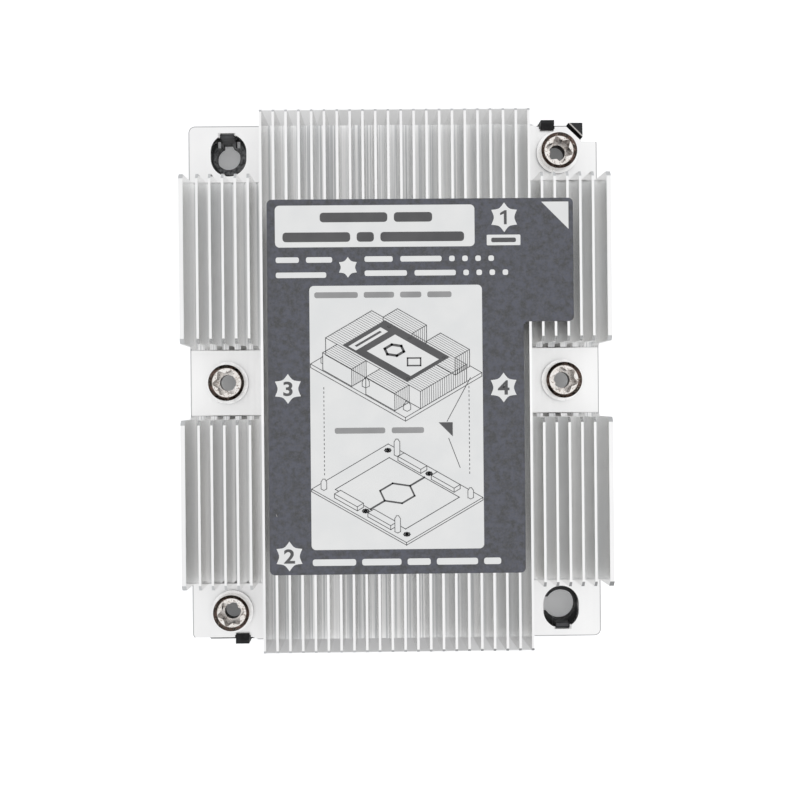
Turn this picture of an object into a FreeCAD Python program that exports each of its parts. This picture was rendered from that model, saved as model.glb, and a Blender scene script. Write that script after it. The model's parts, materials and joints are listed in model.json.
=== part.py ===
"""Passive processor heatsink for a rack server, clipped to its processor carrier.

One aluminium extrusion carries straight fins on a base plate. Six pockets are milled into its
sides down to the plate: four in the corners and two at mid length. Nuts stand in two corners and
in both mid pockets, and the other two corners have guide holes. A black plastic carrier hangs
under the plate on four hooks. Millimetres, +Z up, +Y along the fins. The origin is under the
middle of the part, at the level of the carrier's underside.
"""

import FreeCAD, Part
import Sketcher
import math
import os

SIZES = {
    # base plate and fins
    "base_width": 86.0,
    "base_length": 108.0,
    "base_thickness": 4.5,
    "base_corner_radius": 1.4,
    "fin_height": 21.0,
    "wall_from_last_fin": 3.63,
    "centre_fins": 22,
    "side_fins": 5,
    "fin_tip": 0.5,
    "fin_root": 1.2,
    "shoulder_root": 1.2,
    "wall_tip": 0.9,
    "wall_root": 1.4,
    "channel_floor_step": 0.2,
    "fin_end_chamfer": 0.5,
    # side blocks, left standing between the milled pockets
    "mid_pocket_half": 7.6,
    "block_end_from_nuts": 6.5,
    "block_end_chamfer": 1.0,
    "block_end_chamfer_depth": 1.3,
    "block_end_foot": 0.8,
    # edges of the plate at the two clip corners
    "edge_setback": 0.5,
    "setback_from_fins": 2.6,
    "setback_run": 1.2,
    "clip_notch_width": 3.3,
    "clip_notch_depth": 1.0,
    "corner_step": 3.7,
    "corner_step_width": 3.1,
    "corner_step_slant": 3.3,
    # holes in the plate
    "nut_side_inset": 8.4,
    "nut_end_inset": 6.1,
    "mid_nut_inset": 7.8,
    "guide_hole_width": 7.5,
    "guide_hole_length": 8.95,
    "hook_notch_width": 3.6,
    "hook_notch_depth": 1.5,
    "hook_notch_reach": 0.15,
    # contact pedestal and its patch of compound
    "pedestal_width": 50.0,
    "pedestal_length": 70.0,
    "pedestal_height": 1.3,
    "pedestal_corner_radius": 2.0,
    "patch_margin": 3.0,
    "patch_thickness": 0.2,
    # captive nuts and their retaining rings
    "nut_head_diameter": 7.5,
    "nut_head_height": 5.0,
    "nut_head_chamfer": 0.55,
    "nut_flange_diameter": 8.8,
    "nut_flange_thickness": 1.0,
    "nut_barrel_diameter": 6.2,
    "nut_radial_play": 0.08,
    "nut_axial_play": 0.05,
    "nut_tail": 0.9,
    "thread_minor_diameter": 3.4,
    "thread_length": 3.7,
    "nut_relief_diameter": 4.0,
    "recess_across_points": 5.6,
    "recess_across_waist": 4.0,
    "recess_lobe_radius": 0.45,
    "recess_flank_angle": 54.0,
    "recess_depth": 5.4,
    "nut_1_turn": 43.0,
    "nut_2_turn": 9.0,
    "nut_3_turn": 5.0,
    "nut_4_turn": 46.0,
    "ring_outer_diameter": 8.4,
    "ring_groove_diameter": 5.0,
    "ring_thickness": 0.6,
    "ring_play": 0.05,
    "ring_mouth": 4.0,
    "ring_relief_reach": 3.3,
    "ring_relief_height": 1.3,
    # processor carrier
    "carrier_height": 4.6,
    "carrier_side_inset": 2.9,
    "carrier_end_overhang": 0.35,
    "carrier_corner_cut": 0.5,
    "carrier_lug_thickness": 3.0,
    "carrier_lug_reach": 11.4,
    "window_width": 57.2,
    "window_length": 77.2,
    "window_corner_radius": 1.5,
    "side_bar": 1.7,
    "frame_end_from_nuts": 2.4,
    "boss_radius": 5.5,
    "boss_lift": 0.6,
    "nut_clearance_radius": 4.8,
    "guide_out": 0.35,
    "guide_bore_radius": 2.5,
    "guide_bore_slot": 2.0,
    "guide_ring_radius": 3.2,
    "guide_ring_mouth": 3.4,
    "hook_width": 2.9,
    "hook_thickness": 1.0,
    "hook_inset": 0.45,
    "hook_slot_gap": 0.15,
    "hook_slot_width": 0.9,
    "hook_slot_length": 1.9,
    "hook_lean": 0.4,
    "hook_barb_height": 0.6,
    "hook_gap": 0.1,
    "clip_from_nut": 2.1,
    "clip_width": 2.8,
    "clip_reach": 0.4,
    "clip_top_width": 0.7,
    "clip_barb_height": 0.7,
    "clip_head_height": 1.5,
    "clip_gap": 0.1,
    "clip_overhang": 0.3,
    "triangle_leg": 3.0,
    "triangle_drop": 0.4,
    "lip_length": 6.0,
    "lip_reach": 0.7,
    "lip_height": 0.8,
    "lip_lift": 0.3,
    "lip_spacing": 22.0,
    # printed label on the fin tops
    "label_thickness": 0.2,
    "label_left": 25.5,
    "label_right": 25.3,
    "label_upper_right": 35.3,
    "label_top": 36.0,
    "label_bottom": 38.4,
    "label_step": 11.5,
    "label_corner_radius": 1.0,
}


class Size:
    """A length with its number and with its formula in the sheet of sizes."""

    def __init__(self, number, formula):
        self.number = number
        self.formula = formula

    def __add__(self, other):
        other = as_size(other)
        return Size(self.number + other.number, f"({self.formula} + {other.formula})")

    def __sub__(self, other):
        other = as_size(other)
        return Size(self.number - other.number, f"({self.formula} - {other.formula})")

    def __mul__(self, factor):
        factor = as_size(factor)
        return Size(self.number * factor.number, f"({self.formula} * {factor.formula})")

    def __truediv__(self, factor):
        factor = as_size(factor)
        return Size(self.number / factor.number, f"({self.formula} / {factor.formula})")

    def __neg__(self):
        return self * -1


def as_size(value):
    if isinstance(value, Size):
        return value
    return Size(float(value), f"({float(value)})")


ZERO = Size(0.0, "(0)")

doc = FreeCAD.newDocument("heatsink")
sheet = doc.addObject("Spreadsheet::Sheet", "sizes")
for row, (alias, number) in enumerate(SIZES.items(), start=1):
    sheet.set(f"A{row}", alias)
    sheet.set(f"B{row}", str(number))
    sheet.setAlias(f"B{row}", alias)
doc.recompute()


def size(alias):
    return Size(float(SIZES[alias]), f"sizes.{alias}")


# Sketches and features

def new_body(label, x=ZERO, y=ZERO, z=ZERO, turn=ZERO):
    body = doc.addObject("PartDesign::Body", label)
    body.Label = label
    body.setExpression("Placement.Base.x", x.formula)
    body.setExpression("Placement.Base.y", y.formula)
    body.setExpression("Placement.Base.z", z.formula)
    body.setExpression("Placement.Rotation.Angle", turn.formula)
    return body


def datum(body, role):
    for feature in body.Origin.OriginFeatures:
        if feature.Role == role:
            return feature
    raise ValueError(f"{body.Label} has no {role}")


def sketch_on(body, name, plane="XY_Plane", offset=None):
    """A sketch on one of the body's own planes, or lifted from it by an offset."""
    sketch = body.newObject("Sketcher::SketchObject", f"{body.Label}_{name}")
    sketch.AttachmentSupport = (datum(body, plane), [""])
    sketch.MapMode = "FlatFace"
    if offset is not None:
        sketch.setExpression("AttachmentOffset.Base.z", offset.formula)
    return sketch


def arc_between(start, end, radius, turn):
    """An arc from start to end: turn 1 goes anticlockwise, -1 clockwise."""
    middle = (start + end) * 0.5
    chord = end - start
    rise = math.sqrt(max(radius ** 2 - (chord.Length / 2) ** 2, 0.0))
    across = FreeCAD.Vector(-chord.y, chord.x, 0)
    across.normalize()
    centre = middle + across * (rise * turn)
    first, last = (start, end) if turn > 0 else (end, start)
    begin = math.atan2(first.y - centre.y, first.x - centre.x)
    finish = math.atan2(last.y - centre.y, last.x - centre.x)
    circle = Part.Circle(centre, FreeCAD.Vector(0, 0, 1), radius)
    return Part.ArcOfCircle(circle, begin, finish)


def pin(sketch, curve, point, x, y):
    """Ties one point of a curve to a place that the sheet gives."""
    for kind, place in (("DistanceX", x), ("DistanceY", y)):
        index = sketch.addConstraint(
            Sketcher.Constraint(kind, -1, 1, curve, point, place.number)
        )
        sketch.setExpression(f"Constraints[{index}]", place.formula)


def outline(sketch, corners):
    """Draws one closed outline. A corner is (x, y), with a straight side to the next corner,
    or (x, y, radius, turn), with an arc to it."""
    curves = []
    starts = []
    corners = [tuple(as_size(value) for value in corner[:3]) + corner[3:] for corner in corners]
    for corner, after in zip(corners, corners[1:] + corners[:1]):
        start = FreeCAD.Vector(corner[0].number, corner[1].number, 0)
        end = FreeCAD.Vector(after[0].number, after[1].number, 0)
        if len(corner) == 2:
            curves.append(Part.LineSegment(start, end))
            starts.append(1)
        else:
            curves.append(arc_between(start, end, corner[2].number, corner[3]))
            starts.append(1 if corner[3] > 0 else 2)
    first = sketch.GeometryCount
    sketch.addGeometry(curves, False)
    count = len(corners)
    joints = []
    for index in range(count):
        after = (index + 1) % count
        joints.append(
            Sketcher.Constraint(
                "Coincident", first + index, 3 - starts[index], first + after, starts[after]
            )
        )
    sketch.addConstraint(joints)
    for index, corner in enumerate(corners):
        pin(sketch, first + index, starts[index], corner[0], corner[1])
        if len(corner) > 2:
            radius = sketch.addConstraint(
                Sketcher.Constraint("Radius", first + index, corner[2].number)
            )
            sketch.setExpression(f"Constraints[{radius}]", corner[2].formula)


def circle(sketch, x, y, radius):
    x = as_size(x)
    y = as_size(y)
    index = sketch.GeometryCount
    centre = FreeCAD.Vector(x.number, y.number, 0)
    sketch.addGeometry(Part.Circle(centre, FreeCAD.Vector(0, 0, 1), radius.number), False)
    pin(sketch, index, 3, x, y)
    constraint = sketch.addConstraint(Sketcher.Constraint("Radius", index, radius.number))
    sketch.setExpression(f"Constraints[{constraint}]", radius.formula)


def box(sketch, low_x, high_x, low_y, high_y):
    outline(
        sketch, [(low_x, low_y), (high_x, low_y), (high_x, high_y), (low_x, high_y)]
    )


def rounded_box(sketch, half_x, half_y, radius):
    outline(
        sketch,
        [
            (half_x - radius, -half_y, radius, 1),
            (half_x, -half_y + radius),
            (half_x, half_y - radius, radius, 1),
            (half_x - radius, half_y),
            (-half_x + radius, half_y, radius, 1),
            (-half_x, half_y - radius),
            (-half_x, -half_y + radius, radius, 1),
            (-half_x + radius, -half_y),
        ],
    )


def feature(body, kind, sketch, length, toward, symmetric):
    """Adds or cuts along the sketch's normal (toward 1) or against it (toward -1)."""
    name = f"{sketch.Name}_{kind.lower()}"
    made = body.newObject(f"PartDesign::{kind}", name)
    made.Profile = sketch
    backward = toward < 0 if kind == "Pad" else toward > 0
    made.Reversed = backward
    if symmetric:
        made.SideType = "Symmetric"
    if length is None:
        made.Type = "ThroughAll"
    else:
        made.setExpression("Length", length.formula)
    return made


def pad(body, sketch, length, toward=1, symmetric=False):
    before = volume_of(body)
    made = feature(body, "Pad", sketch, length, toward, symmetric)
    return compared(body, made, before, grows=True)


def pocket(body, sketch, length=None, toward=1, symmetric=False):
    before = volume_of(body)
    made = feature(body, "Pocket", sketch, length, toward, symmetric)
    return compared(body, made, before, grows=False)


def volume_of(body):
    return 0.0 if body.Shape.isNull() else body.Shape.Volume


def compared(body, made, before, grows):
    """Stops where a feature missed the solid, which shows no error of its own."""
    doc.recompute()
    change = body.Shape.Volume - before
    if change == 0 or (change > 0) != grows:
        raise ValueError(f"{made.Name} changed the volume by {change}")
    return made


def repeat(body, original, axis, length, count, toward=1):
    before = volume_of(body)
    pattern = body.newObject("PartDesign::LinearPattern", f"{original.Name}_row")
    pattern.Originals = [original]
    pattern.Direction = (datum(body, axis), [""])
    pattern.Reversed = toward < 0
    pattern.setExpression("Length", length.formula)
    pattern.setExpression("Occurrences", count.formula)
    body.Tip = pattern
    return compared(body, pattern, before, grows=volume_grows(original))


def mirror(body, original, plane):
    before = volume_of(body)
    mirrored = body.newObject("PartDesign::Mirrored", f"{original.Name}_mirrored")
    mirrored.Originals = [original]
    mirrored.MirrorPlane = (datum(body, plane), [""])
    body.Tip = mirrored
    return compared(body, mirrored, before, grows=volume_grows(original))


def turn_round(body, original, count):
    before = volume_of(body)
    pattern = body.newObject("PartDesign::PolarPattern", f"{original.Name}_circle")
    pattern.Originals = [original]
    pattern.Axis = (datum(body, "Z_Axis"), [""])
    pattern.Angle = 360
    pattern.Occurrences = count
    body.Tip = pattern
    return compared(body, pattern, before, grows=volume_grows(original))


def volume_grows(original):
    return original.TypeId == "PartDesign::Pad"


# Places that several pieces share

half_width = size("base_width") / 2
half_length = size("base_length") / 2
plate_top = size("base_thickness")
fin_top = plate_top + size("fin_height")
channel_floor = plate_top + size("channel_floor_step")
fins_each_side = (size("centre_fins") - 1) / 2 + size("side_fins")
pitch = (half_width - size("wall_from_last_fin")) / fins_each_side
shoulder_fin_x = pitch * ((size("centre_fins") - 1) / 2)
side_edge_y = half_length - size("edge_setback")
notch_y = half_length - size("clip_notch_depth")
row_x = half_width - size("nut_side_inset")
row_y = half_length - size("nut_end_inset")
mid_nut_x = half_width - size("mid_nut_inset")
clip_x = row_x - size("clip_from_nut")
carrier_half_width = half_width - size("carrier_side_inset")
carrier_half_length = half_length + size("carrier_end_overhang")
guide_x = row_x + size("guide_out")
guide_round_y = (size("guide_hole_length") - size("guide_hole_width")) / 2
guide_end_y = row_y + size("guide_hole_length") / 2
plate_level = size("carrier_height") + plate_top
hook_stem_y = guide_end_y - size("hook_inset")
hook_root_y = hook_stem_y - size("hook_thickness")
clearance_beyond = Size(1.0, "(1)")


# Heatsink body

def channel(body, name, left_tip, left_root, right_root, right_tip):
    """One channel between two fins, tapered to its floor."""
    sketch = sketch_on(body, name, "XZ_Plane")
    outline(
        sketch,
        [
            (left_root, channel_floor),
            (right_root, channel_floor),
            (right_tip, fin_top),
            (left_tip, fin_top),
        ],
    )
    return pocket(body, sketch, symmetric=True)


def regular_channel(body, name, middle):
    tip = (pitch - size("fin_tip")) / 2
    root = (pitch - size("fin_root")) / 2
    return channel(body, name, middle - tip, middle - root, middle + root, middle + tip)


def cut_channels(body):
    first = regular_channel(body, "centre_channel", -shoulder_fin_x + pitch / 2)
    repeat(body, first, "X_Axis", pitch * (size("centre_fins") - 2), size("centre_fins") - 1)
    side_middle = shoulder_fin_x + pitch * 1.5
    side_row = pitch * (size("side_fins") - 2)
    for side, name in ((1, "right_channel"), (-1, "left_channel")):
        first = regular_channel(body, name, side_middle * side)
        repeat(body, first, "X_Axis", side_row, size("side_fins") - 1, toward=side)
    first_side_fin = shoulder_fin_x + pitch
    shoulder = channel(
        body,
        "shoulder_channel",
        shoulder_fin_x + size("fin_tip") / 2,
        shoulder_fin_x + size("shoulder_root"),
        first_side_fin - size("fin_root") / 2,
        first_side_fin - size("fin_tip") / 2,
    )
    mirror(body, shoulder, "YZ_Plane")
    last_side_fin = shoulder_fin_x + pitch * size("side_fins")
    edge = channel(
        body,
        "edge_channel",
        last_side_fin + size("fin_tip") / 2,
        last_side_fin + size("fin_root") / 2,
        half_width - size("wall_root"),
        half_width - size("wall_tip"),
    )
    mirror(body, edge, "YZ_Plane")


def mill_side_pockets(body):
    """Corner and mid pockets: the fins end in a chamfer above and a foot on the plate."""
    inner = (
        shoulder_fin_x + size("shoulder_root") + shoulder_fin_x + pitch - size("fin_root") / 2
    ) / 2
    foot = size("block_end_foot")
    slope = size("block_end_chamfer")
    shoulder = fin_top - size("block_end_chamfer_depth")
    beyond = half_length + clearance_beyond
    end = row_y - size("block_end_from_nuts")
    middle = size("mid_pocket_half")
    sketch = sketch_on(body, "side_pockets", "YZ_Plane", inner)
    outline(
        sketch,
        [
            (end - slope, fin_top),
            (end, shoulder),
            (end, plate_top + foot),
            (end + foot, plate_top),
            (beyond, plate_top),
            (beyond, fin_top),
        ],
    )
    outline(
        sketch,
        [
            (-end + slope, fin_top),
            (-beyond, fin_top),
            (-beyond, plate_top),
            (-end - foot, plate_top),
            (-end, plate_top + foot),
            (-end, shoulder),
        ],
    )
    outline(
        sketch,
        [
            (-middle - slope, fin_top),
            (-middle, shoulder),
            (-middle, plate_top + foot),
            (-middle + foot, plate_top),
            (middle - foot, plate_top),
            (middle, plate_top + foot),
            (middle, shoulder),
            (middle + slope, fin_top),
        ],
    )
    mirror(body, pocket(body, sketch), "YZ_Plane")


def chamfer_fin_ends(body):
    cut = size("fin_end_chamfer")
    sketch = sketch_on(body, "fin_ends", "YZ_Plane")
    outline(
        sketch,
        [(half_length - cut, fin_top), (half_length, fin_top - cut), (half_length, fin_top)],
    )
    outline(
        sketch,
        [(-half_length + cut, fin_top), (-half_length, fin_top), (-half_length, fin_top - cut)],
    )
    pocket(body, sketch, symmetric=True)


def cut_clip_corners(body):
    """The plate's edge is set back at the two clip corners and notched for the clips. One of
    them is also cut away round the carrier's triangle."""
    start = shoulder_fin_x + size("setback_from_fins")
    run = size("setback_run")
    clip_left = clip_x - size("clip_notch_width") / 2
    clip_right = clip_x + size("clip_notch_width") / 2
    step_x = half_width - size("corner_step_width")
    step_y = half_length - size("corner_step")
    beyond_x = half_width + clearance_beyond
    beyond_y = half_length + clearance_beyond
    sketch = sketch_on(body, "clip_corners")
    outline(
        sketch,
        [
            (start, half_length),
            (start + run, side_edge_y),
            (clip_left, side_edge_y),
            (clip_left, notch_y),
            (clip_right, notch_y),
            (clip_right, side_edge_y),
            (step_x - size("corner_step_slant"), side_edge_y),
            (step_x, step_y),
            (beyond_x, step_y),
            (beyond_x, beyond_y),
            (start, beyond_y),
        ],
    )
    outline(
        sketch,
        [
            (-start, -half_length),
            (-start - run, -side_edge_y),
            (-clip_left, -side_edge_y),
            (-clip_left, -notch_y),
            (-clip_right, -notch_y),
            (-clip_right, -side_edge_y),
            (-beyond_x, -side_edge_y),
            (-beyond_x, -beyond_y),
            (-start, -beyond_y),
        ],
    )
    pocket(body, sketch)


def obround(sketch, x, y, radius, half_straight):
    """A hole with round ends, longer along Y."""
    high = y + half_straight
    low = y - half_straight
    outline(
        sketch,
        [
            (x + radius, low),
            (x + radius, high, radius, 1),
            (x, high + radius, radius, 1),
            (x - radius, high),
            (x - radius, low, radius, 1),
            (x, low - radius, radius, 1),
        ],
    )


def drill_plate(body):
    nut_hole = size("nut_barrel_diameter") / 2 + size("nut_radial_play")
    sketch = sketch_on(body, "nut_holes")
    for x, y in NUT_PLACES:
        circle(sketch, x, y, nut_hole)
    pocket(body, sketch)
    sketch = sketch_on(body, "guide_holes")
    for side in (1, -1):
        obround(sketch, row_x * -side, row_y * side, size("guide_hole_width") / 2, guide_round_y)
    pocket(body, sketch)
    half_notch = size("hook_notch_width") / 2
    notch_end = guide_end_y + size("hook_notch_reach")
    sketch = sketch_on(body, "hook_notches", offset=plate_top - size("hook_notch_depth"))
    box(sketch, -guide_x - half_notch, -guide_x + half_notch, row_y, notch_end)
    box(sketch, guide_x - half_notch, guide_x + half_notch, -notch_end, -row_y)
    pocket(body, sketch)


def make_heatsink_body():
    body = new_body("heatsink_body", z=size("carrier_height"))
    sketch = sketch_on(body, "plan")
    rounded_box(sketch, half_width, half_length, size("base_corner_radius"))
    pad(body, sketch, fin_top)
    cut_channels(body)
    mill_side_pockets(body)
    chamfer_fin_ends(body)
    cut_clip_corners(body)
    drill_plate(body)
    sketch = sketch_on(body, "pedestal")
    rounded_box(
        sketch,
        size("pedestal_width") / 2,
        size("pedestal_length") / 2,
        size("pedestal_corner_radius"),
    )
    pad(body, sketch, size("pedestal_height"), toward=-1)
    return body


# Captive nuts and retaining rings

NUT_PLACES = (
    (row_x, row_y),
    (-row_x, -row_y),
    (-mid_nut_x, ZERO),
    (mid_nut_x, ZERO),
)
ring_top = -plate_top - size("nut_axial_play") - size("ring_play")
groove_bottom = ring_top - size("ring_thickness") - size("ring_play")
groove_radius = size("ring_groove_diameter") / 2


def turn_nut(body):
    """The nut's turned form: barrel with a groove, flange and head, bored right through."""
    thread = size("thread_minor_diameter") / 2
    relief = size("nut_relief_diameter") / 2
    barrel = size("nut_barrel_diameter") / 2
    flange = size("nut_flange_diameter") / 2
    head = size("nut_head_diameter") / 2
    seat = size("nut_axial_play")
    shoulder = seat + size("nut_flange_thickness")
    top = size("nut_head_height")
    tail = groove_bottom - size("nut_tail")
    groove_top = ring_top + size("ring_play")
    thread_end = top - size("recess_depth") - size("thread_length")
    sketch = sketch_on(body, "profile", "XZ_Plane")
    outline(
        sketch,
        [
            (relief, tail),
            (barrel, tail),
            (barrel, groove_bottom),
            (groove_radius, groove_bottom),
            (groove_radius, groove_top),
            (barrel, groove_top),
            (barrel, seat),
            (flange, seat),
            (flange, shoulder),
            (head, shoulder),
            (head, top - size("nut_head_chamfer")),
            (head - size("nut_head_chamfer"), top),
            (thread, top),
            (thread, thread_end),
            (relief, thread_end - relief + thread),
        ],
    )
    turned = body.newObject("PartDesign::Revolution", f"{body.Label}_turned")
    turned.Profile = sketch
    turned.ReferenceAxis = (sketch, ["V_Axis"])
    turned.Angle = 360
    doc.recompute()


def sink_drive_recess(body):
    """Six-lobed drive recess: one sixth of its outline is cut and then turned round."""
    waist = size("recess_across_waist") / 2
    waist_x = waist * math.cos(math.radians(30))
    waist_y = waist * math.sin(math.radians(30))
    lobe = size("recess_lobe_radius")
    flank = math.radians(SIZES["recess_flank_angle"])
    flank_x = size("recess_across_points") / 2 - lobe + lobe * math.cos(flank)
    flank_y = lobe * math.sin(flank)
    sketch = sketch_on(body, "recess", offset=size("nut_head_height"))
    outline(
        sketch,
        [
            (ZERO, ZERO),
            (waist_x, -waist_y),
            (flank_x, -flank_y, lobe, 1),
            (flank_x, flank_y),
            (waist_x, waist_y),
        ],
    )
    sixth = pocket(body, sketch, size("recess_depth"), toward=-1)
    turn_round(body, sixth, 6)


def make_nut(number, x, y):
    body = new_body(f"captive_nut_{number}", x, y, plate_level, size(f"nut_{number}_turn"))
    turn_nut(body)
    sink_drive_recess(body)
    return body


def make_retaining_ring(number, x, y):
    """An E-shaped ring snapped into the nut's groove under the plate."""
    body = new_body(f"retaining_ring_{number}", x, y, plate_level + ring_top)
    outer = size("ring_outer_diameter") / 2
    inner = groove_radius + size("ring_play")
    sketch = sketch_on(body, "plan")
    circle(sketch, ZERO, ZERO, outer)
    circle(sketch, ZERO, ZERO, inner)
    pad(body, sketch, size("ring_thickness"), toward=-1)
    half_mouth = size("ring_mouth") / 2
    sketch = sketch_on(body, "mouth")
    box(sketch, -half_mouth, half_mouth, -outer - clearance_beyond, ZERO)
    pocket(body, sketch, toward=-1)
    reach = size("ring_relief_reach")
    height = size("ring_relief_height")
    sketch = sketch_on(body, "reliefs")
    box(sketch, -reach, reach, ZERO, height)
    pocket(body, sketch, toward=-1)
    return body


# Processor carrier

def pad_frame(body):
    """Central frame round the processor, with a lug at each corner of the heatsink."""
    window_x = size("window_width") / 2
    window_y = size("window_length") / 2
    frame_x = window_x + size("side_bar")
    frame_y = row_y - size("frame_end_from_nuts")
    radius = size("window_corner_radius")
    sketch = sketch_on(body, "frame")
    rounded_box(sketch, frame_x, frame_y, radius)
    rounded_box(sketch, window_x, window_y, radius)
    pad(body, sketch, size("carrier_height"))
    lug_floor = size("carrier_height") - size("carrier_lug_thickness")
    corner = size("carrier_corner_cut")
    start = row_y - size("carrier_lug_reach")
    for side, name in ((1, "right_lugs"), (-1, "left_lugs")):
        sketch = sketch_on(body, name, offset=lug_floor)
        for end in (1, -1):
            lug(sketch, side, end, window_x, start, corner)
        pad(body, sketch, size("carrier_lug_thickness"))


def lug(sketch, side, end, inner, start, corner):
    """A rectangle with its outermost corner cut off."""
    outer = carrier_half_width
    finish = carrier_half_length
    outline(
        sketch,
        [
            (inner * side, start * end),
            (outer * side, start * end),
            (outer * side, (finish - corner) * end),
            ((outer - corner) * side, finish * end),
            (inner * side, finish * end),
        ],
    )


def add_bosses(body):
    """Round bosses at the four corners, then the bores of the two guide posts and two nuts."""
    sketch = sketch_on(body, "bosses", offset=size("boss_lift"))
    for side_x in (1, -1):
        for side_y in (1, -1):
            circle(sketch, row_x * side_x, row_y * side_y, size("boss_radius"))
    pad(body, sketch, size("carrier_height") - size("boss_lift"))
    sketch = sketch_on(body, "bores")
    circle(sketch, row_x, row_y, size("nut_clearance_radius"))
    circle(sketch, -row_x, -row_y, size("nut_clearance_radius"))
    circle(sketch, -guide_x, row_y, size("guide_bore_radius"))
    circle(sketch, guide_x, -row_y, size("guide_ring_radius"))
    pocket(body, sketch)
    half_slot = size("guide_bore_slot") / 2
    half_mouth = size("guide_ring_mouth") / 2
    sketch = sketch_on(body, "bore_slots")
    box(sketch, -guide_x - half_slot, -guide_x + half_slot, row_y, hook_root_y)
    box(
        sketch,
        row_x - size("boss_radius") - clearance_beyond,
        guide_x,
        -row_y - half_mouth,
        -row_y + half_mouth,
    )
    pocket(body, sketch)


def add_hooks(body):
    """Two hooks that stand in the guide holes and catch in the notches at their outer ends."""
    root = size("carrier_height") - size("carrier_lug_thickness")
    ledge = plate_level - size("hook_notch_depth") + size("hook_gap")
    barb_top = ledge + size("hook_barb_height")
    head_top = plate_level - size("hook_gap")
    tip_y = guide_end_y + size("hook_notch_reach") - size("hook_gap")
    for end, name in ((1, "rear_hook"), (-1, "front_hook")):
        sketch = sketch_on(body, name, "YZ_Plane", guide_x * -end)
        outline(
            sketch,
            [
                (hook_root_y * end, root),
                (hook_stem_y * end, root),
                (hook_stem_y * end, ledge),
                (tip_y * end, ledge),
                (tip_y * end, barb_top),
                (hook_stem_y * end, head_top),
                ((hook_root_y + size("hook_lean")) * end, head_top),
            ],
        )
        pad(body, sketch, size("hook_width"), symmetric=True)


def cut_hook_slots(body):
    """Two slots through the boss, one on each side of the rear hook, that let it bend."""
    near = size("hook_width") / 2 + size("hook_slot_gap")
    far = near + size("hook_slot_width")
    finish = hook_stem_y
    start = finish - size("hook_slot_length")
    sketch = sketch_on(body, "hook_slots")
    for side in (1, -1):
        box(sketch, -guide_x + near * side, -guide_x + far * side, start, finish)
    pocket(body, sketch)


def add_clips(body):
    """Two clips that pass outside the plate's edge and reach over it."""
    root = size("carrier_height") - size("carrier_lug_thickness")
    under = plate_level + size("hook_gap")
    stem_y = notch_y + size("clip_gap")
    outer_y = carrier_half_length + size("clip_overhang")
    tip_y = notch_y - size("clip_reach")
    head_top = plate_level + size("clip_head_height")
    for end, name in ((1, "rear_clip"), (-1, "front_clip")):
        sketch = sketch_on(body, name, "YZ_Plane", clip_x * end)
        outline(
            sketch,
            [
                (stem_y * end, root),
                (outer_y * end, root),
                (outer_y * end, head_top),
                ((outer_y - size("clip_top_width")) * end, head_top),
                (tip_y * end, under + size("clip_barb_height")),
                (tip_y * end, under),
                (stem_y * end, under),
            ],
        )
        pad(body, sketch, size("clip_width"), symmetric=True)


def add_corner_triangle(body):
    """The raised triangle that marks the processor's first contact."""
    corner_x = carrier_half_width
    corner_y = carrier_half_length
    leg = size("triangle_leg")
    sketch = sketch_on(body, "triangle")
    outline(
        sketch, [(corner_x, corner_y), (corner_x - leg, corner_y), (corner_x, corner_y - leg)]
    )
    pad(body, sketch, plate_level - size("triangle_drop"))


def add_snap_lips(body):
    """Small lips on the window's sides and ends that hold the processor up."""
    wall_x = size("window_width") / 2
    wall_y = size("window_length") / 2
    reach = size("lip_reach")
    half = size("lip_length") / 2
    sketch = sketch_on(body, "snap_lips", offset=size("lip_lift"))
    for side in (1, -1):
        near = (wall_x - reach) * side
        far = (wall_x + reach) * side
        for middle in (size("lip_spacing"), -size("lip_spacing")):
            box(sketch, near, far, middle - half, middle + half)
        box(sketch, -half, half, (wall_y - reach) * side, (wall_y + reach) * side)
    pad(body, sketch, size("lip_height"))


def make_carrier():
    body = new_body("processor_carrier")
    pad_frame(body)
    add_bosses(body)
    add_hooks(body)
    cut_hook_slots(body)
    add_clips(body)
    add_corner_triangle(body)
    add_snap_lips(body)
    return body


# Label on the fin tops and compound under the pedestal

def make_label():
    """A printed film in the shape of a rectangle with a flag at its upper right."""
    body = new_body("fin_label", z=size("carrier_height") + fin_top)
    left = -size("label_left")
    right = size("label_right")
    flag = size("label_upper_right")
    top = size("label_top")
    bottom = -size("label_bottom")
    step = size("label_step")
    radius = size("label_corner_radius")
    sketch = sketch_on(body, "outline")
    outline(
        sketch,
        [
            (left + radius, bottom),
            (right - radius, bottom, radius, 1),
            (right, bottom + radius),
            (right, step - radius, radius, -1),
            (right + radius, step),
            (flag - radius, step, radius, 1),
            (flag, step + radius),
            (flag, top - radius, radius, 1),
            (flag - radius, top),
            (left + radius, top, radius, 1),
            (left, top - radius),
            (left, bottom + radius, radius, 1),
        ],
    )
    pad(body, sketch, size("label_thickness"))
    return body


def make_thermal_patch():
    """A thin patch of thermal compound on the pedestal's underside."""
    level = size("carrier_height") - size("pedestal_height")
    half_x = size("pedestal_width") / 2 - size("patch_margin")
    half_y = size("pedestal_length") / 2 - size("patch_margin")
    body = new_body("thermal_patch", z=level)
    sketch = sketch_on(body, "outline")
    box(sketch, -half_x, half_x, -half_y, half_y)
    pad(body, sketch, size("patch_thickness"), toward=-1)
    return body


def check_document():
    """Stops at any object that failed, and at any piece that is empty or not valid."""
    for item in doc.Objects:
        if "Invalid" in item.State or "Error" in item.State:
            raise ValueError(f"{item.Label} failed: {item.State}")
    for body in bodies:
        if body.Shape.isNull() or not body.Shape.isValid():
            raise ValueError(f"{body.Label} has no valid shape")


bodies = [make_heatsink_body()]
for number, (x, y) in enumerate(NUT_PLACES, start=1):
    bodies.append(make_nut(number, x, y))
    bodies.append(make_retaining_ring(number, x, y))
bodies.append(make_carrier())
bodies.append(make_label())
bodies.append(make_thermal_patch())

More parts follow.
